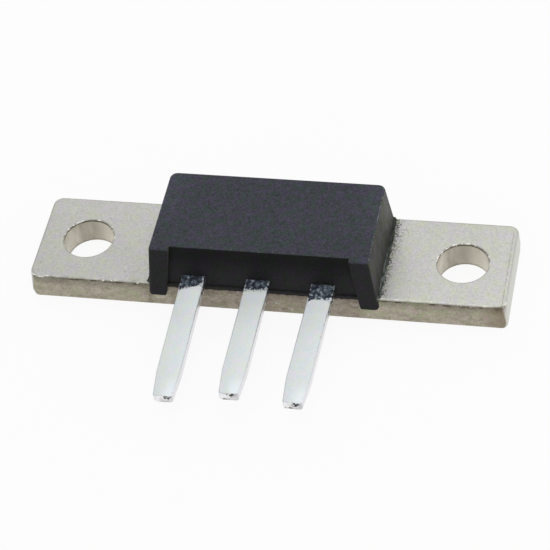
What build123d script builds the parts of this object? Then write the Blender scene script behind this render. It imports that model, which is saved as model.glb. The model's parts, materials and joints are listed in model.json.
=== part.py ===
from build123d import *
import os
from dataclasses import dataclass
from math import radians, tan

# Rectifier diode array: two diode dice with a common cathode, in a flat three-lead power package.
#
# Frame, in millimetres: the origin is on the seating face of the base plate, midway between the
# two mounting holes. +X runs along the plate, +Z up out of the seating face, and the leads
# leave towards -Y. The seating face is at Z = 0.

# ---------------------------------------------------------------- base plate
HOLE_PITCH = 30.15
HOLE_DIAMETER = 4.03
HOLE_ROLL_RADIUS = 0.12  # upper rims of the holes
HOLE_TO_END = 3.89  # from the middle of each hole to the nearer end of the plate
PLATE_WIDTH = 8.68
PLATE_THICKNESS = 2.33
PLATE_CORNER_RADIUS = 0.2  # where the corners are fullest
PLATE_CORNER_HEIGHT = 0.6  # and how high that is
PLATE_TOP_CORNER_RADIUS = 0.85  # the punch rolls the corners over most at the top
PLATE_FOOT_CORNER_RADIUS = 0.5
PLATE_ROLL_RADIUS = 0.22  # upper edges, rolled over by the punch

# ---------------------------------------------------------------- moulded body
BODY_FOOT_LENGTH = 18.08  # along X where the body meets the plate
BODY_RISE = 3.82  # above the plate
BODY_OVERHANG = 0.29  # past the plate's long edges, where the body meets the plate
DRAFT_ANGLE = 6.0
BACK_CORNER_RADIUS = 0.6
FRONT_CORNER_RADIUS = 0.3
TOP_EDGE_RADIUS = 0.22
WRAP_DEPTH = 1.03  # how far the legs and the back skirt reach down the plate's edges
LEG_CORNER_RADIUS = 0.4  # bottom corner of each leg, next to the recess
LEG_CORNER_RUNOUT = 0.03  # its arc would run out this far under the leg, so it meets the bottom at an angle
BOTTOM_EDGE_RADIUS = 0.24  # round the bottom of the legs and the skirt
MOUTH_EDGE_RADIUS = 0.08  # where the recess opens in the fronts of the legs
RECESS_DEPTH = 0.42  # recess wall behind the fronts of the legs
LEG_TOP_WIDTH = 1.59
LEG_BOTTOM_WIDTH = 1.42
RECESS_EDGE_RADIUS = 0.1  # along the top of the recess wall
RECESS_SILL = 0.05  # under the recess wall the compound runs over the plate's edge at this height
LIP_WIDTH = 0.2  # foot lip at the two ends of the body
LIP_HEIGHT = 0.1
LIP_CORNER_RADIUS = 0.25

# ---------------------------------------------------------------- leads
LEAD_WIDTH = 1.86
LEAD_THICKNESS = 0.78
LEAD_PITCH = 5.13
LEAD_ROW_OFFSET = -0.28  # the middle lead sits a little left of the plate's middle
LEAD_GAP = 0.19  # underside of the leads above the plate, outside the body
LEAD_REACH = 11.72  # out of the recess wall
LEAD_EDGE_RADIUS = 0.1
LEAD_BEND_RADIUS = 0.4  # where the inner steps start and end
TIP_LENGTH = 2.3  # tapered end of each lead
TIP_WIDTH = 1.48
TIP_CORNER_LENGTH = 0.13
TIP_END_WIDTH = 1.2

# ---------------------------------------------------------------- dice, solder and inner lead ends
DIE_SIDE = 4.3
DIE_THICKNESS = 0.3
INNER_CENTRE_Y = 0.6  # middle of the dice, the flags and the foot along Y
SOLDER_THICKNESS = 0.08
DIE_SOLDER_SIDE = 4.1
FLAG_SIDE = 3.2  # flag of an anode lead, over its die
FLAG_SOLDER_SIDE = 2.9
FOOT_WIDTH = 2.6  # foot of the cathode lead, on the plate
FOOT_LENGTH = 4.4
FOOT_SOLDER_MARGIN = 0.2
FLAG_CORNER_RADIUS = 0.3
STEP_CLEARANCE = 0.3  # between the step of an anode lead and its die
STEP_RUN_PER_RISE = 2.0
ROOT_OVERLAP = 0.6  # how far the outer part of a lead runs on into the body

# ---------------------------------------------------------------- worked out from the above
DRAFT = tan(radians(DRAFT_ANGLE))
PLATE_LENGTH = HOLE_PITCH + 2 * HOLE_TO_END
PLATE_HALF_WIDTH = PLATE_WIDTH / 2
PLATE_TOP = PLATE_THICKNESS
BODY_TOP = PLATE_TOP + BODY_RISE
WRAP_BOTTOM = PLATE_TOP - WRAP_DEPTH
LEAD_UNDERSIDE = PLATE_TOP + LEAD_GAP
DIE_UNDERSIDE = PLATE_TOP + SOLDER_THICKNESS
DIE_TOP = DIE_UNDERSIDE + DIE_THICKNESS
FLAG_UNDERSIDE = DIE_TOP + SOLDER_THICKNESS
FOOT_UNDERSIDE = PLATE_TOP + SOLDER_THICKNESS


def body_half_length(z):
    """Half of the body's length along X at height z."""
    return BODY_FOOT_LENGTH / 2 - DRAFT * (z - PLATE_TOP)


def body_half_width(z):
    """Distance from the XZ plane to the body's back, and to the fronts of its legs, at height z."""
    return PLATE_HALF_WIDTH + BODY_OVERHANG - DRAFT * (z - PLATE_TOP)


def recess_wall(z):
    """Distance from the XZ plane to the recess wall at height z."""
    return body_half_width(z) - RECESS_DEPTH


def recess_half_length(z):
    """Half of the recess's opening along X at height z, between the legs."""
    share = (z - WRAP_BOTTOM) / (BODY_TOP - WRAP_BOTTOM)
    leg_width = LEG_BOTTOM_WIDTH + share * (LEG_TOP_WIDTH - LEG_BOTTOM_WIDTH)
    return body_half_length(z) - leg_width


# The leads leave the recess wall at the middle of their thickness.
EXIT_Y = -recess_wall(LEAD_UNDERSIDE + LEAD_THICKNESS / 2)


@dataclass
class Lead:
    """One lead: place in the row, its set after handling in degrees, and its inner end."""

    place: int  # -1, 0 or 1 pitches from the middle of the row
    splay: float  # about Z, positive turns the tip towards +X
    lift: float  # positive raises the tip
    inner_underside: float  # height of the inner end
    inner_width: float
    inner_length: float
    step_end: float  # along Y, where the step up or down to the inner end is done

    @property
    def x(self):
        """Place of the lead along X where it leaves the body."""
        return LEAD_ROW_OFFSET + self.place * LEAD_PITCH


def anode_lead(place, splay, lift):
    """A lead whose inner end is a square flag over a die, past a step clear of the die's edge."""
    step_end = INNER_CENTRE_Y - DIE_SIDE / 2 - STEP_CLEARANCE
    return Lead(place, splay, lift, FLAG_UNDERSIDE, FLAG_SIDE, FLAG_SIDE, step_end)


def cathode_lead(place, splay, lift):
    """A lead whose inner end is a foot on the plate."""
    step_end = INNER_CENTRE_Y - FOOT_LENGTH / 2
    return Lead(place, splay, lift, FOOT_UNDERSIDE, FOOT_WIDTH, FOOT_LENGTH, step_end)


LEFT_ANODE = anode_lead(-1, 0.3, -2.1)
CATHODE = cathode_lead(0, 0.45, 2.3)
RIGHT_ANODE = anode_lead(1, -1.3, 0.0)


# ---------------------------------------------------------------- base plate
def plate_outline(z, corner_radius):
    """Outline of the plate at height z."""
    return Pos(Z=z) * RectangleRounded(PLATE_LENGTH, PLATE_WIDTH, corner_radius)


def base_plate():
    """Punched plate with a mounting hole near each end, its upper edges rolled over."""
    outlines = [
        plate_outline(0, PLATE_FOOT_CORNER_RADIUS),
        plate_outline(PLATE_CORNER_HEIGHT, PLATE_CORNER_RADIUS),
        plate_outline(PLATE_THICKNESS, PLATE_TOP_CORNER_RADIUS),
    ]
    plate = loft(outlines, ruled=True)
    plate = fillet(plate.faces().sort_by(Axis.Z)[-1].edges(), PLATE_ROLL_RADIUS)
    hole = extrude(Circle(HOLE_DIAMETER / 2), amount=PLATE_THICKNESS)
    plate -= [Pos(X=side * HOLE_PITCH / 2) * hole for side in (-1, 1)]
    rims = plate.faces().sort_by(Axis.Z)[-1].edges().filter_by(GeomType.CIRCLE)
    rims = rims.filter_by(lambda edge: edge.is_closed)
    return fillet(rims, HOLE_ROLL_RADIUS)


# ---------------------------------------------------------------- moulded body
def body_block():
    """Drafted block from the bottom of the legs to the top, with its corners and edges rounded."""
    outline = Rectangle(2 * body_half_length(WRAP_BOTTOM), 2 * body_half_width(WRAP_BOTTOM))
    block = extrude(Pos(Z=WRAP_BOTTOM) * outline, amount=BODY_TOP - WRAP_BOTTOM, taper=DRAFT_ANGLE)
    back_corners = block.edges().filter_by(Plane.XY, reverse=True).group_by(Axis.Y)[-1]
    block = fillet(back_corners, BACK_CORNER_RADIUS)
    front_corners = block.edges().filter_by(Plane.XY, reverse=True).group_by(Axis.Y)[0]
    block = fillet(front_corners, FRONT_CORNER_RADIUS)
    block = fillet(block.faces().sort_by(Axis.Z)[-1].edges(), TOP_EDGE_RADIUS)
    return fillet(block.faces().sort_by(Axis.Z)[0].edges(), BOTTOM_EDGE_RADIUS)


def foot_lip():
    """Thin lip on the plate, which shows past the body at its two ends."""
    length = 2 * (body_half_length(PLATE_TOP) + LIP_WIDTH)
    outline = RectangleRounded(length, PLATE_WIDTH, LIP_CORNER_RADIUS)
    return extrude(Pos(Z=PLATE_TOP) * outline, amount=LIP_HEIGHT, taper=DRAFT_ANGLE)


def recess():
    """Space between the legs, in front of the recess wall and, under its sill, of the plate."""
    low = WRAP_BOTTOM - WRAP_DEPTH
    high = BODY_TOP + BODY_RISE
    sill = PLATE_TOP + RECESS_SILL
    leg_end = WRAP_BOTTOM - LEG_CORNER_RUNOUT
    reach = 2 * body_half_width(low)
    opening = [
        (body_half_length(low), low),
        (body_half_length(low), leg_end),
        (recess_half_length(leg_end), leg_end),
        (recess_half_length(high), high),
    ]
    mirrored = [(-x, z) for x, z in reversed(opening)]
    front_view = make_face(Polyline(*opening, *mirrored, close=True))
    leg_ends = front_view.vertices().group_by(Axis.Y)[1]
    leg_corners = leg_ends.sort_by(lambda vertex: abs(vertex.X))[:2]
    front_view = fillet(leg_corners, LEG_CORNER_RADIUS)
    side_view = Polyline(
        (-PLATE_HALF_WIDTH, low),
        (-PLATE_HALF_WIDTH, sill),
        (-recess_wall(sill), sill),
        (-recess_wall(high), high),
        (-reach, high),
        (-reach, low),
        close=True,
    )
    between_legs = extrude(Plane.XZ * front_view, amount=reach)
    before_wall = extrude(Plane.YZ * make_face(side_view), amount=body_half_length(low), both=True)
    return between_legs & before_wall


def mouth_edges(body):
    """The two edges where the inner walls of the legs meet the legs' fronts."""
    rising = body.edges().filter_by(lambda edge: edge.bounding_box().size.Z > BODY_RISE / 2)
    opening = recess_half_length(PLATE_TOP + BODY_RISE / 2)
    return rising.sort_by(lambda edge: abs(abs(edge.center().X) - opening) + edge.center().Y)[:2]


def round_edges(body):
    """Round the mouth of the recess and the top of its wall."""
    body = fillet(mouth_edges(body), MOUTH_EDGE_RADIUS)
    top = body.faces().sort_by(Axis.Z)[-1]
    along_x = top.edges().filter_by(Axis.X)
    wall_edge = along_x.sort_by(lambda edge: abs(edge.center().Y + recess_wall(BODY_TOP)))[0]
    return fillet(wall_edge, RECESS_EDGE_RADIUS)


def moulded_body(inner_pieces):
    """Moulded block over the plate, cast round everything that it holds."""
    body = round_edges(body_block() + foot_lip() - recess())
    for piece in inner_pieces:
        body -= piece
    return body


# ---------------------------------------------------------------- leads
def outer_lead():
    """Straight flat lead outside the body, root end at the origin, with a tapered rounded tip."""
    rows = [
        (-LEAD_REACH, TIP_END_WIDTH / 2),
        (-LEAD_REACH + TIP_CORNER_LENGTH, TIP_WIDTH / 2),
        (-LEAD_REACH + TIP_LENGTH, LEAD_WIDTH / 2),
        (ROOT_OVERLAP, LEAD_WIDTH / 2),
    ]
    left = [(-half, y) for y, half in rows]
    right = [(half, y) for y, half in rows]
    outline = make_face(Polyline(*left, *reversed(right), close=True))
    strip = extrude(Pos(Z=-LEAD_THICKNESS / 2) * outline, amount=LEAD_THICKNESS)
    rims = strip.faces().filter_by(Axis.Z).edges()
    return fillet(rims.sort_by(Axis.Y)[:-2], LEAD_EDGE_RADIUS)


def inner_side_view(lead):
    """Side view in the YZ plane of a lead inside the body: root, step and inner end."""
    step_run = STEP_RUN_PER_RISE * abs(lead.inner_underside - LEAD_UNDERSIDE)
    step_start = lead.step_end - step_run
    low_side = [
        (EXIT_Y + ROOT_OVERLAP / 2, LEAD_UNDERSIDE),
        (step_start, LEAD_UNDERSIDE),
        (lead.step_end, lead.inner_underside),
        (INNER_CENTRE_Y + lead.inner_length / 2, lead.inner_underside),
    ]
    high_side = [(y, z + LEAD_THICKNESS) for y, z in low_side]
    view = make_face(Polyline(*low_side, *reversed(high_side), close=True))
    bends = view.vertices().sort_by(Axis.X)[2:-2]
    return fillet(bends, LEAD_BEND_RADIUS)


def inner_plan(lead):
    """Plan of a lead inside the body: the root as wide as the lead, and the wider inner end."""
    root_length = INNER_CENTRE_Y - EXIT_Y
    root = Pos(Y=EXIT_Y + root_length / 2) * Rectangle(LEAD_WIDTH, root_length)
    inner_end = RectangleRounded(lead.inner_width, lead.inner_length, FLAG_CORNER_RADIUS)
    return root + Pos(Y=INNER_CENTRE_Y) * inner_end


def formed_lead(lead):
    """Flat lead of one piece: stamped and stepped inside the body, straight outside it."""
    tall = extrude(inner_plan(lead), amount=BODY_TOP)
    wide = extrude(Plane.YZ * inner_side_view(lead), amount=lead.inner_width, both=True)
    root = Pos(0, EXIT_Y, LEAD_UNDERSIDE + LEAD_THICKNESS / 2)
    outer = root * Rot(X=-lead.lift) * Rot(Z=lead.splay) * outer_lead()
    return Pos(X=lead.x) * ((tall & wide) + outer)


# ---------------------------------------------------------------- dice and solder
def square_layer(side, thickness, underside, x):
    """Square flat piece over the plate at a lead's place along X."""
    return Pos(x, INNER_CENTRE_Y, underside) * extrude(Rectangle(side, side), amount=thickness)


def die(lead):
    """Silicon die under an anode lead's flag."""
    return square_layer(DIE_SIDE, DIE_THICKNESS, DIE_UNDERSIDE, lead.x)


def die_attach_solder(lead):
    """Solder between a die and the plate."""
    return square_layer(DIE_SOLDER_SIDE, SOLDER_THICKNESS, PLATE_TOP, lead.x)


def flag_solder(lead):
    """Solder between an anode lead's flag and its die."""
    return square_layer(FLAG_SOLDER_SIDE, SOLDER_THICKNESS, DIE_TOP, lead.x)


def foot_solder(lead):
    """Solder between the cathode lead's foot and the plate."""
    width = lead.inner_width - FOOT_SOLDER_MARGIN
    length = lead.inner_length - FOOT_SOLDER_MARGIN
    pad = extrude(Rectangle(width, length), amount=SOLDER_THICKNESS)
    return Pos(lead.x, INNER_CENTRE_Y, PLATE_TOP) * pad


# ---------------------------------------------------------------- the whole part
def build():
    """All the pieces by name."""
    pieces = {
        "base_plate": base_plate(),
        "left_anode_lead": formed_lead(LEFT_ANODE),
        "cathode_lead": formed_lead(CATHODE),
        "right_anode_lead": formed_lead(RIGHT_ANODE),
        "cathode_lead_solder": foot_solder(CATHODE),
    }
    for side, lead in (("left", LEFT_ANODE), ("right", RIGHT_ANODE)):
        pieces[f"{side}_diode_die"] = die(lead)
        pieces[f"{side}_die_attach_solder"] = die_attach_solder(lead)
        pieces[f"{side}_lead_solder"] = flag_solder(lead)
    pieces["moulded_body"] = moulded_body(pieces.values())
    return pieces


if __name__ == "__main__":
    os.makedirs("parts", exist_ok=True)
    for name, piece in build().items():
        export_step(piece, f"parts/{name}.step")
        print(f"{name}: {len(piece.solids())} solid, {piece.volume:.2f} mm3")
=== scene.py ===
"""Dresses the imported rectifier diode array: its finishes, moulding flash, solder crests and studio."""

import json
import logging
import math
from collections import Counter
from dataclasses import dataclass
from enum import Enum
from functools import cached_property, partialmethod
from typing import Any, Callable, Sequence, Union

import bpy
from mathutils import Matrix, Vector, noise


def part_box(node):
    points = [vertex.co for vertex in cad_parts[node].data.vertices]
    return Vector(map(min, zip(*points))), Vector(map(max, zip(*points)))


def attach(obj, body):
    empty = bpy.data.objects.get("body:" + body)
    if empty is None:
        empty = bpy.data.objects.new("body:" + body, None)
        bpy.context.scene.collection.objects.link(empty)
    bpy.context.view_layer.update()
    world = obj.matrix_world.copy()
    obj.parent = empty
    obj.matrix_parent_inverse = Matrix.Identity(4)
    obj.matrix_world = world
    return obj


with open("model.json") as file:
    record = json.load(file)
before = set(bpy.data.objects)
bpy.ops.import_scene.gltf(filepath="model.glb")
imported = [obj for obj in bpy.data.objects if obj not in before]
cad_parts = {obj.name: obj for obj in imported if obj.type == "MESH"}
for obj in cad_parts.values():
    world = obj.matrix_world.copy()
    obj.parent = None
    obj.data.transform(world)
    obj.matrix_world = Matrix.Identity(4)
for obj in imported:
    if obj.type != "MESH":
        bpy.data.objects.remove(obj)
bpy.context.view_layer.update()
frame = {"nodes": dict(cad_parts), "record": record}

MM = 0.001
BODY = "root"
log = logging.getLogger("rectifier")

Colour = tuple[float, float, float]
Colours = tuple[Colour, ...]
Value = Union[float, "Signal"]
Paint = Union[Colour, "Signal"]


# ---------------- shader graphs
class Signal:
    """A shader socket that takes part in Python expressions."""

    def __init__(self, graph: "Graph", socket: bpy.types.NodeSocket) -> None:
        """Wrap an output socket of a graph."""
        self.graph = graph
        self.socket = socket

    def _math(self, operation: str, *others: Value) -> "Signal":
        """One Math node over this signal and others."""
        return self.graph.node("ShaderNodeMath", {"operation": operation}, self, *others)

    __add__ = __radd__ = partialmethod(_math, "ADD")
    __sub__ = partialmethod(_math, "SUBTRACT")
    __mul__ = __rmul__ = partialmethod(_math, "MULTIPLY")
    __truediv__ = partialmethod(_math, "DIVIDE")
    __abs__ = partialmethod(_math, "ABSOLUTE")
    root = partialmethod(_math, "SQRT")
    least = partialmethod(_math, "MINIMUM")
    most = partialmethod(_math, "MAXIMUM")

    def __rsub__(self, other: Value) -> "Signal":
        """Difference with the signal on the right."""
        return self.graph.node("ShaderNodeMath", {"operation": "SUBTRACT"}, other, self)

    def step(self, low: float, high: float) -> "Signal":
        """Smooth step from 0 at low to 1 at high; high may be the smaller one.

        Args:
            low: Value of the signal where the step starts.
            high: Value of the signal where the step ends.

        Returns:
            A signal from 0 to 1.
        """
        settings = {"interpolation_type": "SMOOTHSTEP", "clamp": True}
        if low < high:
            return self.graph.node("ShaderNodeMapRange", settings, self, low, high, 0.0, 1.0)
        return self.graph.node("ShaderNodeMapRange", settings, self, high, low, 1.0, 0.0)

    def band(self, middle: float, half: float, soft: float) -> "Signal":
        """1 within half of middle, falling to 0 over soft."""
        return abs(self - middle).step(half + soft, half)


class Graph:
    """The nodes of one material, round its Principled shader."""

    def __init__(self, name: str) -> None:
        """Start a material with a Principled shader.

        Args:
            name: Name of the material.
        """
        self.material = bpy.data.materials.new(name)
        self.material.use_nodes = True
        self.tree = self.material.node_tree
        self.shader = self.tree.nodes["Principled BSDF"]

    @cached_property
    def place(self) -> Signal:
        """Object coordinates in millimetres."""
        coordinates = self.raw("ShaderNodeTexCoord", {}).outputs["Object"]
        return self.shade(Signal(self, coordinates), 1 / MM)

    def raw(self, kind: str, settings: dict[str, Any], *inputs: Any) -> bpy.types.Node:
        """Add a node, set it up and fill its enabled inputs in order.

        Args:
            kind: Type of the node.
            settings: The node's own properties, set before its inputs.
            inputs: Values or signals for its enabled inputs, from the first.

        Returns:
            The node.
        """
        node = self.tree.nodes.new(kind)
        for key, value in settings.items():
            setattr(node, key, value)
        sockets = [socket for socket in node.inputs if socket.enabled]
        for socket, value in zip(sockets, inputs):
            self.feed(socket, value)
        return node

    def node(self, kind: str, settings: dict[str, Any], *inputs: Any) -> Signal:
        """Add a node as raw does and give its first enabled output."""
        made = self.raw(kind, settings, *inputs)
        return Signal(self, next(socket for socket in made.outputs if socket.enabled))

    def feed(self, socket: bpy.types.NodeSocket, value: Any) -> None:
        """Link a signal to an input, or set the input's value."""
        if isinstance(value, Signal):
            self.tree.links.new(value.socket, socket)
        elif socket.type == "RGBA":
            socket.default_value = (*value, 1.0)
        else:
            socket.default_value = value

    def fill(self, node: bpy.types.Node, **sockets: Any) -> None:
        """Feed a node's inputs by name; underscores in names stand for spaces."""
        for name, value in sockets.items():
            self.feed(node.inputs[name.replace("_", " ")], value)

    def set(self, **sockets: Any) -> None:
        """Feed the Principled shader's inputs, as fill does."""
        self.fill(self.shader, **sockets)

    def parts(self, vector: Signal) -> tuple[Signal, Signal, Signal]:
        """The X, Y and Z of a vector."""
        node = self.raw("ShaderNodeSeparateXYZ", {}, vector)
        x, y, z = (Signal(self, socket) for socket in node.outputs)
        return x, y, z

    def normal(self) -> Signal:
        """The surface's own normal."""
        return Signal(self, self.raw("ShaderNodeNewGeometry", {}).outputs["Normal"])

    def vector(self, operation: str, *inputs: Any) -> Signal:
        """One Vector Math node over vectors and values."""
        return self.node("ShaderNodeVectorMath", {"operation": operation}, *inputs)

    def dot(self, first: Signal, second: Union[Signal, Vector]) -> Signal:
        """Length of one vector along another."""
        return self.vector("DOT_PRODUCT", first, second)

    def noise(self, size: float, detail: float, roughness: float = 0.55,
              stretch: Sequence[float] = (1, 1, 1)) -> Signal:
        """Noise from 0 to 1.

        Args:
            size: Size of the main features, in millimetres.
            detail: Number of finer octaves.
            roughness: Strength of the finer octaves.
            stretch: Lengthening of the features along X, Y and Z.

        Returns:
            The noise.
        """
        where = self.vector("MULTIPLY", self.place, tuple(1 / share for share in stretch))
        return self.node("ShaderNodeTexNoise", {}, where, 1 / size, detail, roughness)

    def cells(self, size: float) -> Signal:
        """Distance to the nearest of randomly placed points, about size millimetres apart."""
        return self.node("ShaderNodeTexVoronoi", {}, self.place, 1 / size)

    def blend(self, first: Paint, second: Paint, share: Value) -> Signal:
        """Mix two colours.

        Args:
            first: Colour where share is 0.
            second: Colour where share is 1.
            share: Share of the second colour.

        Returns:
            The mixed colour.
        """
        node = self.tree.nodes.new("ShaderNodeMix")
        node.data_type = "RGBA"
        for name, value in (("Factor_Float", share), ("A_Color", first), ("B_Color", second)):
            self.feed(next(s for s in node.inputs if s.identifier == name), value)
        return Signal(self, next(s for s in node.outputs if s.identifier == "Result_Color"))

    def coat(self, colour: Paint, *coats: tuple[Paint, Value]) -> Paint:
        """Lay coats over a colour, one after the other.

        Args:
            colour: The colour at the bottom.
            coats: Each coat's colour and how far it covers what is under it.

        Returns:
            The coated colour.
        """
        for paint, cover in coats:
            colour = self.blend(colour, paint, cover)
        return colour

    def shade(self, colour: Paint, by: Value) -> Signal:
        """Multiply a colour or another vector by a value."""
        return self.vector("SCALE", colour, by)

    def bump(self, height: Signal, depth: float, base: Union[Signal, None] = None) -> Signal:
        """Surface relief.

        Args:
            height: Relief from 0 to 1.
            depth: Height in millimetres of a relief of 1.
            base: Normal from another relief under this one.

        Returns:
            The normal.
        """
        node = self.raw("ShaderNodeBump", {})
        self.fill(node, Strength=1.0, Distance=depth * MM, Height=height)
        if base:
            self.fill(node, Normal=base)
        return Signal(self, node.outputs["Normal"])

    def edge(self, radius: float) -> Signal:
        """0 further than radius millimetres from every edge, rising towards 1 on a sharp one."""
        rounded = self.node("ShaderNodeBevel", {"samples": 6}, radius * MM)
        return 1.0 - self.dot(rounded, self.normal())


# ---------------- finishes
@dataclass(frozen=True)
class PlateShape:
    """Where the plate's corners, its holes and the moulding's foot lie, in millimetres.

    Attributes:
        low: Lowest corner of the plate.
        high: Highest corner of the plate.
        foot_x: Distance of the moulding's foot from the plate's middle.
        hole_x: Distance of each hole's middle from the plate's middle.
        hole_radius: Radius of the holes.
    """

    low: Vector
    high: Vector
    foot_x: float
    hole_x: float
    hole_radius: float


@dataclass(frozen=True)
class PlateSignals:
    """Signals that the zones of the plate's finish share, with lengths in millimetres.

    Attributes:
        graph: The material's graph.
        shape: The plate's shape.
        x: Place along the plate.
        y: Place across the plate.
        depth: Depth below its upper face.
        wavy: That depth, wavering a little.
        upward: How squarely the surface faces up.
        sideways: How squarely it faces the front or the back.
        ragged: Coarse noise.
        grain: Fine noise.
    """

    graph: Graph
    shape: PlateShape
    x: Signal
    y: Signal
    depth: Signal
    wavy: Signal
    upward: Signal
    sideways: Signal
    ragged: Signal
    grain: Signal


@dataclass(frozen=True)
class NickelPlate:
    """Satin nickel over copper: even on the flat faces, mottled and browner on the sheared long edges.

    Attributes:
        flat: Colours between which the flat faces drift.
        end: Colour of the end faces.
        scuff: Colour of the scuffs on the flat faces.
        speck: Colours of the specks of compound beside the moulding, and further off as dust.
        sheared: Colours between which the sheared edges vary.
        patch: Colours of their greenish, reddish and coppery patches and of their brown right end.
        blotch: Colours of the dark and pale blotches under the leads, and of flecks by the right leg.
        rolled: Colour of the painted highlight along the roll of the long edges.
        line: Colours of the painted dark reflection broken along the right end's roll, and of the broken
            line along the back edge.
        stain: Colour of the dark breaks along the upper edges and of the scuffed corner.
        crept: Colour of the compound that crept down from the recess.
        burnished: Colour of the small painted glints.
        wall: Colours of the hole walls: the paler one, and the darker one laid on as a band of painted
            shade.
        rim: Colours of the holes' upper and lower rims.
        roll: Radius of the rolled upper edge, in millimetres.
        under_leads: Half the length of the front edge that lies under the leads, in millimetres.
    """

    flat: Colours = ((0.555, 0.57, 0.485), (0.565, 0.545, 0.56), (0.55, 0.555, 0.525))
    end: Colour = (0.655, 0.655, 0.61)
    scuff: Colour = (0.33, 0.32, 0.27)
    speck: Colours = ((0.060, 0.065, 0.050), (0.21, 0.215, 0.185))
    sheared: Colours = ((0.33, 0.30, 0.235), (0.51, 0.48, 0.39))
    patch: Colours = ((0.41, 0.43, 0.28), (0.52, 0.42, 0.40), (0.40, 0.25, 0.20), (0.24, 0.18, 0.12))
    blotch: Colours = ((0.17, 0.125, 0.11), (0.56, 0.54, 0.56), (0.80, 0.80, 0.74))
    rolled: Colour = (0.78, 0.77, 0.70)
    line: Colours = ((0.33, 0.31, 0.25), (0.33, 0.29, 0.25))
    stain: Colour = (0.10, 0.075, 0.05)
    crept: Colour = (0.020, 0.018, 0.014)
    burnished: Colour = (0.97, 0.96, 0.92)
    wall: Colours = ((0.815, 0.78, 0.68), (0.385, 0.358, 0.292))
    rim: Colours = ((0.42, 0.42, 0.38), (0.30, 0.26, 0.20))
    roll: float = 0.22
    under_leads: float = 8.0

    def dress(self, name: str, shape: PlateShape) -> bpy.types.Material:
        """Make the material for a plate.

        Args:
            name: Name of the material.
            shape: The plate's shape.

        Returns:
            The material.
        """
        graph = Graph(name)
        x, y, z = graph.parts(graph.place)
        normal_x, normal_y, normal_z = graph.parts(graph.normal())
        depth = shape.high.z - z
        ragged = graph.noise(0.42, 4.0, 0.7)
        at = PlateSignals(
            graph=graph,
            shape=shape,
            x=x,
            y=y,
            depth=depth,
            wavy=depth + 0.16 * (ragged - 0.5),
            upward=normal_z,
            sideways=abs(normal_y),
            ragged=ragged,
            grain=graph.noise(0.16, 3.0, 0.65),
        )
        long_side = at.sideways.step(0.62, 0.90) * abs(normal_z).step(0.80, 0.45)
        across = abs(x) - shape.hole_x
        from_axis = (across * across + y * y).root()
        near_hole = from_axis.step(shape.hole_radius + 0.16, shape.hole_radius + 0.03)
        to_right = across * (2.0 * x.step(-0.1, 0.1) - 1.0)

        even = self.specks(at, self.flat_face(at))
        even = graph.blend(even, self.end, abs(normal_x).step(0.5, 0.9))
        # Painted reflection: a broken dark line along the roll of the right end, standing in for the
        # dark that the roll reflects.
        painted_dark_reflection = (shape.high.x - abs(x) + 0.08 * (ragged - 0.5)).band(1.7 * self.roll, 0.02, 0.04)
        painted_dark_reflection = painted_dark_reflection * ragged.step(0.34, 0.56) * normal_z.step(0.5, 0.9)
        even = graph.blend(even, self.line[0], painted_dark_reflection * x.step(0.0, 1.0) * 0.6)
        side = self.around_legs(at, self.side(at))
        colour = self.upper_edges(at, graph.blend(even, side, long_side))
        # Painted highlights: small near-white glints along the long edges and on the backs of the hole
        # rims, made less metallic so that they stay white.
        rubbed = self.rubbed(at, near_hole)
        mottle = graph.noise(0.45, 4.0, 0.65, (1.5, 1, 1))
        graph.set(
            Base_Color=graph.coat(
                colour,
                (self.hole_wall(at, to_right), near_hole),
                (self.burnished, rubbed),
            ),
            Metallic=1.0 - (0.45 * near_hole).most(0.75 * rubbed),
            Roughness=0.42 + 0.12 * at.grain + 0.12 * long_side,
            Normal=graph.bump(mottle * long_side, 0.045, graph.bump(at.grain, 0.010)),
        )
        return graph.material

    def flat_face(self, at: PlateSignals) -> Paint:
        """Colour of the flat faces: small faint patches of three tints, with fine pits and scuffs, under
        painted shading across the plate.

        Args:
            at: The plate's signals.

        Returns:
            The colour.
        """
        patch = at.graph.noise(0.72, 3.0, 0.5)
        second = at.graph.noise(0.55, 3.0, 0.5, (1, 1.2, 1))
        cloud = at.graph.noise(3.0, 2.0)
        fine = at.graph.noise(0.14, 3.0, 0.8)
        colour = at.graph.coat(
            self.flat[0],
            (self.flat[1], patch.step(0.38, 0.62)),
            (self.flat[2], second.step(0.45, 0.65)),
        )
        # Painted shade: the flat faces lighten towards the right, and towards the front right and the
        # back left, as light would fall on a slightly twisted plate.
        slope = 0.95 + 0.0035 * at.x - 0.0004 * (at.x * at.y)
        colour = at.graph.shade(colour, (0.55 + 0.10 * cloud + 0.85 * fine) * slope)
        near_foot = at.x.step(-13.0, -9.8) * at.x.step(-8.0, -9.0)
        near_corner = at.x.step(-16.0, -18.6)
        handled = near_foot.most(near_corner) * at.y.step(0.5, -3.6)
        scuffs = at.graph.noise(0.35, 4.0, 0.7, (2.2, 1, 1))
        dust = at.graph.noise(0.10, 3.0, 0.65)
        return at.graph.coat(
            colour,
            (self.scuff, (scuffs + 0.10 * handled).step(0.66, 0.76) * 0.6),
            (self.speck[1], (dust + 0.07 * handled).step(0.70, 0.76) * 0.6),
        )

    def specks(self, at: PlateSignals, colour: Paint) -> Signal:
        """Scatter dark specks of compound to the right of the moulding, thickest at the back.

        Args:
            at: The plate's signals.
            colour: Colour without the specks.

        Returns:
            The colour with the specks.
        """
        beside_foot = at.x - at.shape.foot_x
        dots = at.graph.noise(0.10, 3.0, 0.6, (1, 1.2, 1))
        cluster = at.graph.noise(0.7, 3.0, stretch=(1, 1.4, 1))
        rarer = 0.39 + 0.14 * beside_foot.step(-0.1, 0.6) + 0.16 * beside_foot.step(0.2, 1.9)
        rarer = rarer + 0.07 * at.y.step(2.8, -1.5) - 0.14 * (cluster - 0.5)
        reach = beside_foot.step(3.4, 2.0) * beside_foot.step(-1.0, -0.6)
        amount = (dots - rarer).step(-0.01, 0.05) * reach
        tone = at.graph.blend(*self.speck, beside_foot.step(0.05, 0.8))
        return at.graph.blend(colour, tone, amount * 0.85)

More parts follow.
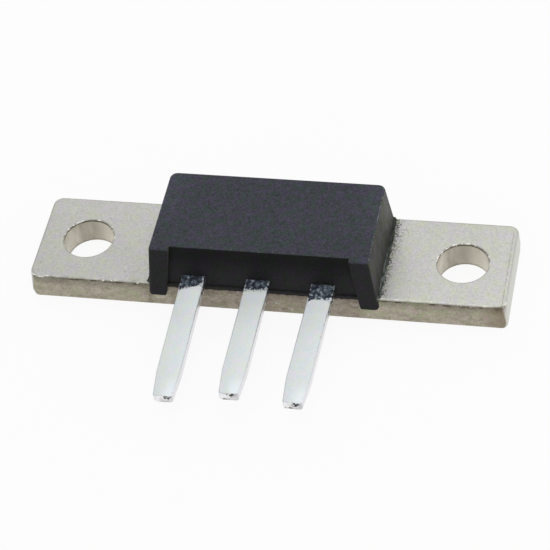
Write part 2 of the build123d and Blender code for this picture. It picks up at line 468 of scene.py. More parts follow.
    def side(self, at: PlateSignals) -> Signal:
        """Colour of the sheared long edges: darker towards the top and browner at the right end.

        Args:
            at: The plate's signals.

        Returns:
            The colour.
        """
        from_end = at.x - at.shape.high.x
        mottle = at.graph.noise(0.50, 5.0, 0.75, (1.3, 1, 1))
        patch = at.graph.noise(0.8, 3.0, stretch=(1.5, 1, 1))
        blush = at.graph.noise(0.45, 4.0, stretch=(1.3, 1, 1))
        spots = at.graph.noise(0.30, 3.0, 0.6, (1.3, 1, 0.8))
        quiet = 1.0 - 0.55 * from_end.step(-27.5, -31.0)
        colour = at.graph.coat(
            at.graph.blend(*self.sheared, mottle.step(0.30, 0.70)),
            (self.patch[0], patch.step(0.46, 0.60) * quiet * 0.6),
            (self.patch[1], blush.step(0.52, 0.62) * quiet * 0.5),
            (self.patch[2], spots.step(0.60, 0.72) * quiet * 0.5),
        )
        # Darker towards the top: partly the darker shear zone, partly painted shade under the roll.
        colour = at.graph.shade(colour, 0.66 + 0.34 * (at.depth + 0.5 * at.ragged).step(0.25, 1.5))
        near_end = (from_end + 0.8 * at.ragged).step(-1.9, 0.2)
        colour = at.graph.blend(colour, self.patch[3], near_end * (0.35 + 0.5 * mottle))
        return at.graph.shade(colour, 0.45 + 1.1 * at.graph.noise(0.12, 3.0, 0.7))

    def around_legs(self, at: PlateSignals, side: Signal) -> Paint:
        """Blotch the long edge under the leads and darken it there as painted shade, and mark it beside
        each leg of the moulding.

        Args:
            at: The plate's signals.
            side: Colour of the long edge.

        Returns:
            The colour with the marks.
        """
        between = abs(at.x).step(self.under_leads + 0.2, self.under_leads - 0.8)
        blotches = at.graph.noise(0.38, 4.0, 0.7, (1.4, 1, 1))
        by_right_leg = (at.x - at.shape.foot_x).band(-0.10, 0.10, 0.06)
        by_right_leg = by_right_leg * (at.depth + 0.5 * (at.ragged - 0.5)).band(0.80, 0.28, 0.12)
        by_left_leg = at.x + at.shape.foot_x
        by_left_leg = by_left_leg.step(-1.5, -0.3) * by_left_leg.step(0.3, 0.1)
        # Painted shade: under the leads the long edge is darkened by a fifth; its coppery tint there is
        # its own colour.
        side = at.graph.shade(at.graph.blend(side, self.patch[2], 0.14 * between), 1.0 - 0.20 * between)
        return at.graph.coat(
            side,
            (self.blotch[0], blotches.step(0.54, 0.66) * between * 0.6),
            (self.blotch[1], blotches.step(0.44, 0.34) * between * 0.5),
            (self.blotch[2], by_right_leg * at.grain.step(0.50, 0.60) * 0.6),
            (self.stain, by_left_leg * blotches.step(0.40, 0.60) * 0.35),
        )

    def upper_edges(self, at: PlateSignals, colour: Signal) -> Paint:
        """Paint a highlight along the roll of the long edges, and stain the plate's upper edges.

        Args:
            at: The plate's signals.
            colour: Colour of the faces and edges.

        Returns:
            The colour with the painted highlight and the stained edges.
        """
        # Painted highlight: the roll of the long edges is lightened in broken patches, standing in for
        # the light that it catches.
        rolled = at.sideways.step(0.08, 0.30) * at.upward.step(0.42, 0.62)
        back = (at.shape.high.y - at.y).step(0.24, 0.14) * at.upward.step(0.2, 0.5)
        breaks = at.graph.noise(0.42, 4.0, 0.65, (1.7, 1, 1)).step(0.50, 0.55)
        under = at.wavy.band(0.95 * self.roll, 0.06, 0.02) * at.sideways.step(0.45, 0.80)
        in_front = at.y.step(0.0, -1.0)
        corner = (at.shape.high.x - at.x).step(1.6, 0.7) * at.depth.step(0.9, 0.2) * in_front
        corner = corner * at.sideways.step(0.30, 0.60)
        crept = (0.21 + 0.7 * (at.ragged - 0.5) - at.depth).step(-0.02, 0.02) * in_front
        crept = crept * abs(at.x).step(self.under_leads, self.under_leads - 0.4)
        return at.graph.coat(
            colour,
            (self.rolled, rolled * at.ragged.step(0.42, 0.60) * 0.45),
            (self.line[1], back * at.ragged.step(0.30, 0.55) * 0.55),
            (self.stain, under * breaks * 0.9),
            (self.stain, corner * at.ragged.step(0.38, 0.56) * 0.65),
            (self.crept, crept * at.sideways.step(0.05, 0.2)),
        )

    def hole_wall(self, at: PlateSignals, across: Signal) -> Paint:
        """Colour of a hole: pale smeared walls with a darker band of painted shade, and a dark broken
        line under the back of the rim.

        Args:
            at: The plate's signals.
            across: Distance to the right of the hole's axis.

        Returns:
            The colour.
        """
        smear = at.graph.noise(0.55, 4.0, 0.6, (1, 1, 3.0))
        # Painted shade: a darker band down each hole's wall, a little left of its middle, streaked by
        # the smear.
        painted_shade_and_smear = (across / at.shape.hole_radius + 0.33 + 0.6 * (smear - 0.5)).band(0.0, 0.16, 0.80)
        wall = at.graph.blend(*self.wall, painted_shade_and_smear * (0.35 + 0.7 * smear))
        wall = at.graph.shade(wall, 0.86 + 0.28 * at.graph.noise(0.12, 3.0))
        depth = at.depth + 0.08 * (at.ragged - 0.5)
        line = depth.band(0.14, 0.055, 0.03) * at.ragged.step(0.36, 0.46) * at.y.step(-0.9, 0.1)
        return at.graph.coat(
            wall,
            (self.rim[1], at.depth.step(2.05, 2.30) * 0.6),
            (self.stain, line * 0.9),
            (self.rim[0], depth.step(0.09, 0.05)),
        )

    def rubbed(self, at: PlateSignals, near_hole: Signal) -> Signal:
        """Where small glints are painted: along the long edges and on the backs of the hole rims.

        Args:
            at: The plate's signals.
            near_hole: 1 in a hole and on its rim.

        Returns:
            A signal from 0 to 1.
        """
        back_rim = near_hole * at.y.step(-0.6, 0.2)
        back_rim = back_rim * (at.depth + 0.08 * (at.ragged - 0.5)).step(0.10, 0.06)
        glints = at.graph.noise(0.34, 3.0, 0.6).step(0.50, 0.58)
        ridge = at.wavy.band(0.45 * self.roll, 0.05, 0.05) * at.sideways.step(0.12, 0.40)
        dots = at.graph.noise(0.26, 3.0, 0.6, (1.6, 1, 1))
        dots = dots + 0.16 * (at.x - at.shape.low.x).step(2.6, 0.6)
        return (back_rim * glints).most(ridge * dots.step(0.60, 0.68) * 0.8)


@dataclass(frozen=True)
class MouldingCompound:
    """Matte black epoxy: near black in front; its top, its short sides and its back are paler, partly a
    fine pale dusting and partly painted light from above and the side.

    Attributes:
        base: Colours between which the clean compound varies.
        bloom: Colours between which the top varies: a fine pale dusting, lightened as painted light from
            above.
        ends: Colours of the short sides and the back: a fine pale dusting, lightened as painted light
            from the side.
        rim: Colour of the painted highlight, in dashes, along the top's two short edges.
        wear: Colour at the edges, partly chipping and partly painted highlight, and of the painted
            glints on the top over the recess.
        fringe: Colours of the flaky foot lip.
        draft: Lean of the walls, in degrees.
        leg: Width of a leg at the foot, in millimetres.
        split: Half-way line between the legs' fronts and the recess wall, at the foot's height.
        brow: How far behind that line the top's edge over the recess lies.
    """

    base: Colours = ((0.0060, 0.0096, 0.0062), (0.0100, 0.0066, 0.0125))
    bloom: Colours = ((0.0285, 0.0390, 0.0385), (0.0385, 0.0350, 0.0565))
    ends: Colours = ((0.057, 0.063, 0.042), (0.066, 0.060, 0.068))
    rim: Colour = (0.17, 0.18, 0.195)
    wear: Colour = (0.15, 0.15, 0.14)
    fringe: Colours = ((0.026, 0.032, 0.022), (0.145, 0.160, 0.155))
    draft: float = 6.0
    leg: float = 2.0
    split: float = 4.42
    brow: float = 0.13

    def dress(self, name: str, foot: float, foot_x: float) -> bpy.types.Material:
        """Make the material.

        Args:
            name: Name of the material.
            foot: Height of the plate's upper face, in millimetres.
            foot_x: Distance of the walls from the middle there, inside the foot lip.

        Returns:
            The material.
        """
        graph = Graph(name)
        x, y, z = graph.parts(graph.place)
        normal_x, normal_y, normal_z = graph.parts(graph.normal())
        height = z - foot
        cloud = graph.noise(2.4, 4.0)
        tint = graph.noise(0.60, 3.0, 0.5).step(0.38, 0.62)
        grain = graph.noise(0.13, 3.0, 0.75)
        mealy = graph.noise(0.36, 3.0)
        pits = graph.cells(0.30).step(0.22, 0.08)
        # Painted light: faces that look up, the short sides and the back get paler colours than the
        # front, partly a fine dusting and partly standing in for light from above and the side.
        upward = normal_z.step(0.35, 0.85) * height.step(0.5, 1.5)
        sideways = (1.0 - normal_y.step(-0.35, -0.75)) * (1.0 - upward)
        wall_line = y + self.split - math.tan(math.radians(self.draft)) * height
        # Painted shade in the recess: its wall is darkened towards the top, and made partly metallic
        # there, which darkens its sheen.
        recess_shade = wall_line.step(-0.05, 0.05) * normal_y.step(-0.35, -0.75)

        towards_ends = abs(x).step(5.5, 8.6) * y.step(-3.0, 3.0)
        powder = (3.3 * grain + mealy + 0.4 * cloud - 1.27) * (1.0 + 0.25 * towards_ends)
        # On the short sides and the back the colour grows lighter upwards, and on the short sides also
        # towards the back.
        smear = graph.noise(0.8, 4.0, 0.65, (1, 1, 2.2))
        rise = 0.2 + 0.25 * height.step(-1.0, 0.4) + 0.55 * (height + 0.6 * smear).step(0.2, 2.6)
        behind = 1.0 + 0.8 * (y + 0.9 * smear).step(1.2, 3.6) * normal_y.step(0.75, 0.35)
        side_film_and_light = (1.1 * smear + 1.6 * grain + 0.7 * mealy - 0.73) * rise * behind
        front = (4.6 * grain + mealy - 1.8) * (1.0 - 0.30 * recess_shade * height.step(1.6, 3.4))

        # Lightened edges: partly chipping, partly painted highlight along the edges.
        chips = graph.noise(0.24, 3.0, 0.65)
        edge_wear_and_highlight = graph.edge(0.13).step(0.01, 0.12) * chips.step(0.44, 0.60) * height.step(0.8, 1.6)
        # Painted highlight: a dashed light line along the top's two short edges.
        rim = abs(normal_x).band(0.62, 0.12, 0.12) * normal_z.step(0.42, 0.60) * height.step(1.0, 2.0)
        highlight_dashes = graph.noise(0.30, 4.0, 0.7, (1, 1.8, 1)).step(0.47, 0.60)
        between_legs = abs(x).step(foot_x - self.leg + 0.05, foot_x - self.leg - 0.05)
        above = (wall_line - self.brow).band(0.0, 0.30, 0.02) * between_legs * upward
        bitten = above * (wall_line - self.brow - 0.5 * (chips - 0.36)).step(0.02, -0.02)
        # Painted glints: pale dots on the top over the recess.
        edge_glints = above * graph.noise(0.16, 2.0).step(0.66, 0.72)
        lip = height.band(0.05, 0.065, 0.01) * abs(x).step(foot_x - 0.05, foot_x)
        # The lip's pale flakes grow thicker towards the front: partly pale flakes, partly a painted
        # highlight along the lip.
        flaky = graph.noise(0.14, 4.0, 0.6, (1, 6.0, 1)) + 0.06 * y.step(-1.0, -3.5)
        pale = flaky.step(0.48, 0.62) * (0.20 + 0.80 * y.step(1.8, -0.6))
        colour = graph.coat(
            graph.shade(graph.blend(*self.base, tint), front.most(0.1)),
            (graph.shade(graph.blend(*self.ends, tint), side_film_and_light), sideways),
            (graph.shade(graph.blend(*self.bloom, tint), powder), upward),
            (self.base[0], pits * cloud.step(0.45, 0.6) * 0.6),
            (self.wear, edge_wear_and_highlight * (0.07 + 0.55 * sideways.most(upward))),
            (self.rim, rim * highlight_dashes * 0.75),
            (self.base[0], bitten * 0.85),
            (self.wear, edge_glints * 0.8),
            (graph.blend(*self.fringe, pale), lip),
        )
        graph.set(
            Base_Color=colour,
            Metallic=0.45 * recess_shade * height.step(1.0, 3.2),
            Roughness=0.62 + 0.16 * grain,
            Specular_IOR_Level=0.28,
            Normal=graph.bump(grain + 0.6 * tint - 0.5 * pits, 0.014),
        )
        return graph.material

    def dress_flash(self, name: str) -> bpy.types.Material:
        """Make the material of the thin flash round the foot."""
        graph = Graph(name)
        grain = graph.noise(0.10, 3.0)
        flaky = graph.noise(0.16, 4.0, 0.7, (1, 3.0, 1))
        pale = (flaky + 0.14 * graph.parts(graph.place)[1].step(2.0, -2.5)).step(0.54, 0.70)
        graph.set(
            Base_Color=graph.shade(graph.blend(*self.fringe, pale), 0.5 + grain),
            Roughness=0.55 + 0.2 * grain,
            Specular_IOR_Level=0.35,
            Normal=graph.bump(grain, 0.01),
        )
        return graph.material


@dataclass(frozen=True)
class LeadLine:
    """Middle line of the outer part of a lead, in millimetres.

    Attributes:
        root: Where the lead leaves the recess wall.
        tip: Middle of its end face.
    """

    root: Vector
    tip: Vector

    @property
    def length(self) -> float:
        """Length from the wall to the end."""
        return (self.tip - self.root).length

    @property
    def along(self) -> Vector:
        """Direction out of the body."""
        return (self.tip - self.root).normalized()

    @property
    def across(self) -> Vector:
        """Level direction to the lead's right, seen from above with its tip towards the viewer."""
        return Vector((0, 0, 1)).cross(self.along).normalized()

    @property
    def upward(self) -> Vector:
        """Direction out of the lead's upper face."""
        return self.along.cross(self.across)


@dataclass(frozen=True)
class Dip:
    """Where the tin of one lead begins.

    Attributes:
        start: Distance from the wall at the lead's middle, in millimetres.
        slope: How much further out it begins at the right edge than at the middle.
        shoulder: How much further out it begins at both edges.
        ragged: How unevenly it begins.
    """

    start: float
    slope: float
    shoulder: float
    ragged: float


@dataclass(frozen=True)
class TinnedLead:
    """Hot-dipped tin over a lead, ending short of the body in a ragged line.

    Attributes:
        tin: Colours between which the tin drifts.
        bare: Colours of the dark oxidised root.
        flake: Colour of the bright specks on the root, and of the painted highlights at the dip's edge.
        bright: Colours of the painted highlight on the drooping tip, of the side faces painted lighter,
            and of the end.
        rough: Colour of the specks along the right edge.
        fracture: Colours of the torn patch and the smudge on the end face.
        half_width: Half of the lead's width, in millimetres.
    """

    tin: Colours = ((0.702, 0.748, 0.705), (0.680, 0.732, 0.760), (0.728, 0.726, 0.772))
    bare: Colours = ((0.040, 0.047, 0.065), (0.23, 0.29, 0.36))
    flake: Colour = (0.88, 0.92, 0.95)
    bright: Colours = ((0.84, 0.90, 0.95), (0.79, 0.78, 0.815), (0.92, 0.92, 0.94))
    rough: Colour = (0.36, 0.38, 0.36)
    fracture: Colours = ((0.05, 0.048, 0.05), (0.34, 0.31, 0.27))
    half_width: float = 0.93

    def dress(self, name: str, line: LeadLine, dip: Dip) -> bpy.types.Material:
        """Make the material for one lead.

        Args:
            name: Name of the material.
            line: The lead's middle line.
            dip: Where its tin begins.

        Returns:
            The material.
        """
        graph = Graph(name)
        offset = graph.vector("SUBTRACT", graph.place, line.root)
        out = graph.dot(offset, line.along)
        across = graph.dot(offset, line.across) / self.half_width
        height = graph.dot(offset, line.upward)
        facing = graph.dot(graph.normal(), line.across)
        on_side = abs(facing).step(0.80, 0.95)
        on_edge = facing.band(0.50, 0.22, 0.15)
        on_end = graph.dot(graph.normal(), line.along).step(0.60, 0.80)

        grain = graph.noise(0.12, 3.0)
        ragged = graph.noise(0.26, 4.0, 0.8)
        square = across * across
        # On the side faces the bare root runs a millimetre further out and more raggedly: painted shade
        # beside the body.
        reach = dip.start + dip.slope * across + dip.shoulder * (square * square) + on_side
        dipped = (out - reach + (dip.ragged + 1.8 * on_side) * (ragged - 0.5)).step(-0.03, 0.03)
        drift = graph.noise(0.65, 4.0, stretch=(1, 1.4, 1))
        other = graph.noise(0.5, 4.0, stretch=(1, 1.5, 1))
        tin = graph.coat(
            self.tin[0],
            (self.tin[1], drift.step(0.42, 0.58)),
            (self.tin[2], other.step(0.50, 0.62)),
        )
        # Painted light: the tin is lightened close to the body, lifting the shade of the recess; there
        # it is also less metallic, so that it does not reflect the dark body.
        painted_light_near_body = 0.24 * out.step(4.2, 1.2) + 0.12 * out.step(2.4, 1.2)
        # Painted highlight: the right half of the last two millimetres is painted bluish white, as the
        # light on the drooping tip.
        tip = out.step(line.length - 2.2, line.length - 0.4)
        tip = tip * (across + 0.8 * (drift - 0.5)).step(-0.5, 0.5)
        specks = graph.noise(0.17, 3.0, 0.6, (1, 1.6, 1)).step(0.50, 0.57)
        # Painted light: the side faces are painted paler than the top.
        tin = graph.coat(
            graph.shade(tin, 0.86 + 0.20 * grain + 0.04 * drift + 0.04 * across + painted_light_near_body),
            (self.bright[0], tip * 0.65),
            (self.bright[1], on_side),
            (self.rough, on_edge * specks * (0.16 + 0.42 * out.step(8.5, 3.5))),
        )

        flakes = graph.noise(0.28, 4.0, 0.7, (1, 1.3, 1))
        near_edge = abs(across).step(0.75, 0.98)
        # Painted highlights: bright flakes gather at the dip's edge.
        dip_edge_glints = (out - reach).step(-0.35, -0.05)
        root = graph.coat(
            self.bare[0],
            (self.bare[1], flakes.step(0.42, 0.60)),
            (self.flake, (flakes + 0.13 * near_edge + 0.12 * dip_edge_glints).step(0.605, 0.65)),
        )
        torn = graph.noise(0.20, 3.0, 0.65)
        smudged = graph.noise(0.35, 3.0)
        smudge = (smudged - 0.4 * abs(across + 0.08) - 0.8 * abs(height + 0.30)).step(0.32, 0.42)
        patch = (torn - 0.40 * abs(across - 0.28) - 0.8 * abs(height - 0.22)).step(0.34, 0.40)
        end = graph.coat(
            graph.shade(self.bright[2], (0.30 + 1.15 * smudged - 0.35 * across).least(1.0)),
            (self.fracture[1], smudge),
            (self.fracture[0], patch),
        )

        waves = graph.noise(1.6, 2.0, stretch=(1, 2.4, 1))
        droop = out.step(line.length - 1.3, line.length + 0.3)
        form = graph.bump(0.35 * (1.0 - square) - 0.9 * droop + 0.35 * waves, 0.06)
        relief = dipped + 0.12 * grain + 0.8 * flakes * (1.0 - dipped) + 0.8 * torn * on_end
        graph.set(
            Base_Color=graph.coat(root, (tin, dipped), (end, on_end)),
            Metallic=0.62 - 0.30 * out.step(3.0, 1.4) * dipped + 0.36 * on_side.most(on_end),
            Roughness=0.46 - 0.06 * dipped + 0.07 * drift - 0.16 * on_side,
            Normal=graph.bump(relief, 0.035, form),
        )
        return graph.material


@dataclass(frozen=True)
class Inner:
    """A finish for the pieces inside the moulding.

    Attributes:
        colour: Its colour.
        metallic: 1 for a metal.
        roughness: Its roughness.
    """

    colour: Colour
    metallic: float
    roughness: float

    def dress(self, name: str) -> bpy.types.Material:
        """Make the material."""
        graph = Graph(name)
        grain = graph.noise(0.3, 3.0)
        graph.set(
            Base_Color=graph.shade(self.colour, 0.85 + 0.3 * grain),
            Metallic=self.metallic,
            Roughness=self.roughness + 0.1 * grain,
            Normal=graph.bump(grain, 0.01),
        )
        return graph.material


# ---------------- the part
def node_box(node: str) -> tuple[Vector, Vector]:
    """Lowest and highest corner of a CAD node in millimetres."""
    low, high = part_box(node)
    return low / MM, high / MM


def mount(name: str) -> dict[str, Any]:
    """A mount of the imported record, by name."""
    return next(entry for entry in frame["record"]["mounts"] if entry["name"] == name)


def paint(piece: bpy.types.Object, material: bpy.types.Material) -> None:
    """Give a piece one material in place of all that it had."""
    piece.data.materials.clear()
    piece.data.materials.append(material)
    log.info("%s: %s, %d faces", piece.name, material.name, len(piece.data.polygons))


def settle(piece: bpy.types.Object, material: bpy.types.Material) -> None:
    """Give a finished piece its material and the body that it rides on.

    Args:
        piece: The piece.
        material: Its material.
    """
    paint(piece, material)
    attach(piece, BODY)


def edit(piece: bpy.types.Object, action: str) -> None:
    """Open a piece alone in edit mode, and select its faces.

    Args:
        piece: The piece.
        action: SELECT for all of its faces or DESELECT for none.
    """
    bpy.ops.object.select_all(action="DESELECT")
    piece.select_set(True)
    bpy.context.view_layer.objects.active = piece
    bpy.ops.object.mode_set(mode="EDIT")
    bpy.ops.mesh.select_mode(type="FACE")
    bpy.ops.mesh.select_all(action=action)


def modify(piece: bpy.types.Object, kind: str, **settings: Any) -> None:
    """Apply a modifier to the active piece.

    Args:
        piece: The piece.
        kind: Type of the modifier.
        settings: The modifier's own properties.
    """
    modifier = piece.modifiers.new(kind, kind)
    for key, value in settings.items():
        setattr(modifier, key, value)
    bpy.ops.object.modifier_apply(modifier=modifier.name)


def cut_faces(piece: bpy.types.Object, test: Callable[[bpy.types.MeshPolygon], bool]) -> None:
    """Delete the faces of a piece that pass a test."""
    edit(piece, "DESELECT")
    bpy.ops.object.mode_set(mode="OBJECT")
    for face in piece.data.polygons:
        face.select = test(face)
    bpy.ops.object.mode_set(mode="EDIT")
    bpy.ops.mesh.delete(type="FACE")
    bpy.ops.object.mode_set(mode="OBJECT")


def weak_faces(mesh: bpy.types.Mesh) -> set[int]:
    """Find the faces that stand alone, or that hold on to another face by one corner only.

    Args:
        mesh: A flat mesh.

    Returns:
        Indices of the lone faces and of one face of each pair.
    """
    uses = Counter(key for face in mesh.polygons for key in face.edge_keys)
    weak = {face.index for face in mesh.polygons if max(uses[key] for key in face.edge_keys) == 1}
    at_corner: dict[int, list[bpy.types.MeshPolygon]] = {}
    for face in mesh.polygons:
        for corner in face.vertices:
            at_corner.setdefault(corner, []).append(face)
    for faces in at_corner.values():
        if len(faces) == 2 and not set(faces[0].edge_keys) & set(faces[1].edge_keys):
            weak.add(faces[1].index)
    return weak


@dataclass
class BasePlate:
    """The nickel-plated base plate with its two mounting holes.

    Attributes:
        finish: Its plating.
    """

    finish: NickelPlate

    def build(self) -> None:
        """Dress the plate."""
        holes = mount("mounting_holes")["dims"]
        low, high = node_box("base_plate")
        foot_x = node_box("moulded_body")[1].x
        shape = PlateShape(low, high, foot_x, holes["spacing_x_mm"] / 2, holes["hole_r_mm"])
        paint(frame["nodes"]["base_plate"], self.finish.dress("satin_nickel", shape))


@dataclass
class MouldedBody:
    """The moulded body over the plate, and the thin flash that crept out from under it.

    Lengths are in millimetres.

    Attributes:
        finish: Its compound.
        lip: Width of the foot lip.
        cell: Size of a flake of flash.
        thickness: Thickness of the flash.
        spread: How far beyond the foot lip the last flakes lie.
        front_gap: From the plate's front edge to the flash.
        back_gap: From its back edge to the flash.
        clumps: Sizes of the fine and the coarse unevenness of the flash.
    """

    finish: MouldingCompound
    lip: float = 0.2
    cell: float = 0.07
    thickness: float = 0.035
    spread: float = 0.16
    front_gap: float = 0.15
    back_gap: float = 0.55
    clumps: tuple[float, float] = (0.16, 0.6)

    def build(self) -> None:
        """Dress the body and lay the flash."""
        high = node_box("moulded_body")[1]
        plate_low, plate_high = node_box("base_plate")
        compound = self.finish.dress("black_epoxy", plate_high.z, high.x - self.lip)
        paint(frame["nodes"]["moulded_body"], compound)
        flash = self.finish.dress_flash("epoxy_flash")
        for name, side in (("left_foot_flash", -1), ("right_foot_flash", 1)):
            near = Vector((side * (high.x - 0.5 * self.lip), plate_low.y + self.front_gap, plate_high.z))
            far = Vector((side * (high.x + self.spread), plate_high.y - self.back_gap, plate_high.z))
            self.skin(name, near, far, flash)

    def skin(self, name: str, near: Vector, far: Vector, material: bpy.types.Material) -> None:
        """Lay a ragged skin of flash over the plate, thinning out away from the moulding.

        Args:
            name: Name of the piece.
            near: Front corner of the level area that it may cover, under the foot lip.
            far: Back corner of that area, away from the moulding.
            material: Its material.
        """
        size = far - near
        bpy.ops.mesh.primitive_grid_add(
            x_subdivisions=round(abs(size.x) / self.cell),
            y_subdivisions=round(abs(size.y) / self.cell),
            size=MM,
            location=(near + far) / 2 * MM,
        )
        skin = bpy.context.object
        skin.name = name
        skin.scale = (abs(size.x), abs(size.y), 1)
        bpy.ops.object.transform_apply()

        def bare(face: bpy.types.MeshPolygon) -> bool:
            """Whether the plate shows at a face of the grid."""
            point = face.center / MM
            away = (point.x - near.x) / size.x
            fine = noise.noise(point / self.clumps[0])
            coarse = noise.noise(point / self.clumps[1] + Vector((3, 1, 7)))
            return 0.75 * fine + 0.5 * coarse > 0.75 - 1.35 * away

        cut_faces(skin, bare)
        while weak := weak_faces(skin.data):
            cut_faces(skin, lambda face: face.index in weak)
        edit(skin, "SELECT")
        bpy.ops.mesh.vertices_smooth(factor=0.6, repeat=1)
        bpy.ops.transform.vertex_random(offset=0.15 * self.cell * MM, seed=3)
        bpy.ops.object.mode_set(mode="OBJECT")
        modify(skin, "SOLIDIFY", thickness=self.thickness * MM, offset=1.0)
        settle(skin, material)


@dataclass
class LeadRow:
    """The three leads, with a crest of solder where the dip of each one ends.

    Lengths are in millimetres.

    Attributes:
        finish: Their tin.
        wall_y: Y of the recess wall where the leads leave it.
        root_z: Height of the middle of the leads there.
        thickness: Thickness of the leads.
        crest_length: Length of a crest along its lead.
        crest_rise: How much wider and higher than the lead it is.
        crest_inset: Share of its length by which its middle lies inside the dip's start.
        bevel: Width of its bevelled edges.
        cuts: How often its faces are cut.
        lump_height: Height of its lumps.
        lump_size: Size of its lumps.
    """

    finish: TinnedLead
    wall_y: float = -4.15
    root_z: float = 2.91
    thickness: float = 0.78
    crest_length: float = 0.55
    crest_rise: float = 0.01
    crest_inset: float = 0.35
    bevel: float = 0.10
    cuts: int = 9
    lump_height: float = 0.11
    lump_size: float = 0.16

    def line(self, node: str) -> LeadLine:
        """Middle line of a lead, from its wall to the mount at its end."""
        low, high = node_box(node)
        end = mount(node.replace("_lead", "_end"))
        root = Vector(((low.x + high.x) / 2, self.wall_y, self.root_z))
        return LeadLine(root, Vector(end["pos_m"]) / MM)

    def build(self) -> None:
        """Dress each lead with its own dip, and raise the ragged crest that the dip left."""
        dips = {
            "left_anode_lead": Dip(start=1.10, slope=-0.32, shoulder=0.10, ragged=0.6),
            "cathode_lead": Dip(start=1.12, slope=-0.08, shoulder=0.05, ragged=0.9),
            "right_anode_lead": Dip(start=1.50, slope=-0.05, shoulder=0.45, ragged=0.3),
        }
        for node, dip in dips.items():
            line = self.line(node)
            material = self.finish.dress(f"bright_tin_{node}", line, dip)
            paint(frame["nodes"][node], material)
            reach = dip.start - self.crest_inset * self.crest_length
            self.crest(node.replace("_lead", "_dip_crest"), line, reach, material)

    def crest(self, name: str, line: LeadLine, reach: float, material: bpy.types.Material) -> None:
        """Raise a lumpy crest of solder round a lead.

        Args:
            name: Name of the piece.
            line: The lead's middle line.
            reach: How far out of the wall the middle of the crest lies.
            material: The lead's material.
        """
        middle = line.root + line.along * reach
        turn = Matrix((line.across, -line.along, line.upward)).transposed()
        bpy.ops.mesh.primitive_cube_add(size=MM, location=middle * MM, rotation=turn.to_euler())
        crest = bpy.context.object
        crest.name = name
        width = 2 * self.finish.half_width + self.crest_rise
        crest.scale = (width, self.crest_length, self.thickness + self.crest_rise)
        bpy.ops.object.transform_apply()
        edit(crest, "SELECT")
        bpy.ops.mesh.bevel(offset=self.bevel * MM, segments=2)
        bpy.ops.mesh.select_all(action="SELECT")
        bpy.ops.mesh.subdivide(number_cuts=self.cuts)
        bpy.ops.object.mode_set(mode="OBJECT")
        lumps = bpy.data.textures.new(name, "CLOUDS")
        lumps.noise_scale = self.lump_size * MM
        modify(crest, "DISPLACE", texture=lumps, strength=self.lump_height * MM)
        bpy.ops.object.shade_smooth()
        settle(crest, material)


@dataclass
class InnerPieces:
    """The dice and the solder layers inside the moulding.

    Attributes:
        silicon: Finish of the dice.
        solder: Finish of the solder layers.
    """

    silicon: Inner = Inner((0.20, 0.21, 0.24), 0.6, 0.3)
    solder: Inner = Inner((0.45, 0.45, 0.47), 1.0, 0.5)

    def build(self) -> None:
        """Dress the hidden pieces."""
        silicon = self.silicon.dress("metallised_silicon")
        solder = self.solder.dress("dull_solder")
        for name, piece in frame["nodes"].items():
            if name.endswith("_die"):
                paint(piece, silicon)
            elif name.endswith("_solder"):
                paint(piece, solder)


# ---------------- studio
class Ray(Enum):
    """Kinds of ray that see the plain background."""

    CAMERA = "Is Camera Ray"
    GLOSSY = "Is Glossy Ray"
    TRANSMISSION = "Is Transmission Ray"


def towards(azimuth: float, elevation: float) -> Vector:
    """Direction from the object to a place round it.

    Args:
        azimuth: Where the place is, in degrees; 0 is in front and 90 to the right.
        elevation: Its height above the horizon, in degrees.

    Returns:
        The direction.
    """
    turn, rise = math.radians(azimuth), math.radians(elevation)
    level = math.cos(rise)
    return Vector((math.sin(turn) * level, -math.cos(turn) * level, math.sin(rise)))


@dataclass(frozen=True)
class Softbox:
    """A square soft light.

    Attributes:
        name: Name of the lamp.
        azimuth: Where it stands, in degrees, as in towards.
        elevation: Its height, in degrees, as in towards.
        distance: From the object, in metres.
        size: Length of its side, in metres.
        watts: Its power.
    """

    name: str
    azimuth: float
    elevation: float
    distance: float
    size: float
    watts: float

    def light(self) -> None:
        """Set the lamp up, facing the object."""
        back = towards(self.azimuth, self.elevation)
        data = bpy.data.lights.new(self.name, "AREA")
        data.size = self.size
        data.energy = self.watts
        lamp = bpy.data.objects.new(self.name, data)
        lamp.location = back * self.distance
        lamp.rotation_euler = back.to_track_quat("Z", "Y").to_euler()
        bpy.context.scene.collection.objects.link(lamp)


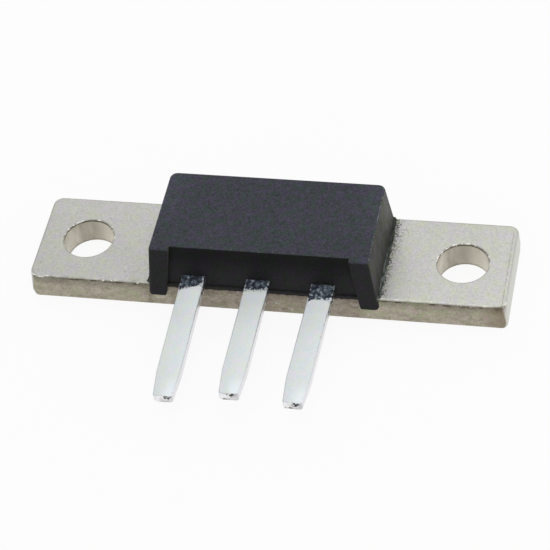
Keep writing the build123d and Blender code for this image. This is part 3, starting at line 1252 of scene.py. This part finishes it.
@dataclass
class Studio:
    """Floor, surroundings, lamps and camera.

    Attributes:
        softboxes: The lamps.
        floor_size: Length of the floor's side, in metres.
        floor_colour: Its colour.
        floor_plain: Share of plain white in what the camera sees of it.
        surroundings: Strength of the even light from all round.
    """

    softboxes: Sequence[Softbox]
    floor_size: float = 6.0
    floor_colour: Colour = (0.85, 0.85, 0.85)
    floor_plain: float = 0.9
    surroundings: float = 0.7

    def build(self) -> None:
        """Set everything up."""
        self.floor()
        self.world()
        for softbox in self.softboxes:
            softbox.light()
        self.camera()
        bpy.context.scene.view_settings.view_transform = "Standard"

    def floor(self) -> None:
        """A pale floor that keeps a faint shadow."""
        bpy.ops.mesh.primitive_plane_add(size=self.floor_size)
        floor = bpy.context.object
        floor.name = "floor"
        graph = Graph("pale_floor")
        graph.tree.nodes.remove(graph.shader)
        path = graph.raw("ShaderNodeLightPath", {})
        by_camera, by_gloss, by_transmission = (Signal(graph, path.outputs[ray.value]) for ray in Ray)
        share = by_camera.most(by_gloss).most(by_transmission) * self.floor_plain
        pale = graph.node("ShaderNodeBsdfDiffuse", {}, self.floor_colour)
        plain = graph.node("ShaderNodeEmission", {})
        mixed = graph.node("ShaderNodeMixShader", {}, share, pale, plain)
        graph.feed(graph.tree.nodes["Material Output"].inputs["Surface"], mixed)
        floor.data.materials.append(graph.material)

    def world(self) -> None:
        """White behind the object, and an even soft light on it."""
        world = bpy.data.worlds.new("surroundings")
        bpy.context.scene.world = world
        world.use_nodes = True
        tree = world.node_tree
        light = tree.nodes["Background"]
        plain = tree.nodes.new("ShaderNodeBackground")
        for background, strength in ((light, self.surroundings), (plain, 1.0)):
            background.inputs["Color"].default_value = (1, 1, 1, 1)
            background.inputs["Strength"].default_value = strength
        seen = tree.nodes.new("ShaderNodeLightPath").outputs[Ray.CAMERA.value]
        mix = tree.nodes.new("ShaderNodeMixShader")
        for source, socket in zip((seen, light.outputs[0], plain.outputs[0]), mix.inputs):
            tree.links.new(source, socket)
        tree.links.new(mix.outputs[0], tree.nodes["World Output"].inputs["Surface"])

    def camera(self) -> None:
        """A long lens from the front right, above the part, held slightly turned."""
        azimuth, elevation, roll = 17.558, 46.994, -9.078
        distance, target = 0.18279, Vector((0.00002, -0.00051, 0))
        back, level = towards(azimuth, elevation), towards(azimuth + 90, 0)
        turn = Matrix((level, back.cross(level), back)).transposed().to_4x4()
        turn = turn @ Matrix.Rotation(math.radians(roll), 4, "Z")
        data = bpy.data.cameras.new("camera")
        data.lens, data.sensor_width = 150.98, 36
        data.clip_start, data.clip_end = 0.01, 20
        camera = bpy.data.objects.new("camera", data)
        camera.matrix_world = Matrix.Translation(target + back * distance) @ turn
        bpy.context.scene.collection.objects.link(camera)
        bpy.context.scene.camera = camera


def main() -> None:
    """Build and dress the part and its studio."""
    logging.basicConfig(level=logging.INFO, format="%(name)s: %(message)s")
    BasePlate(NickelPlate()).build()
    MouldedBody(MouldingCompound()).build()
    LeadRow(TinnedLead()).build()
    InnerPieces().build()
    Studio([
        Softbox("key", azimuth=187, elevation=48, distance=0.5, size=0.55, watts=0.42),
        Softbox("top", azimuth=20, elevation=72, distance=0.45, size=0.25, watts=0.25),
        Softbox("side", azimuth=95, elevation=25, distance=0.5, size=0.3, watts=0.4),
    ]).build()


if __name__ == "__main__":
    main()
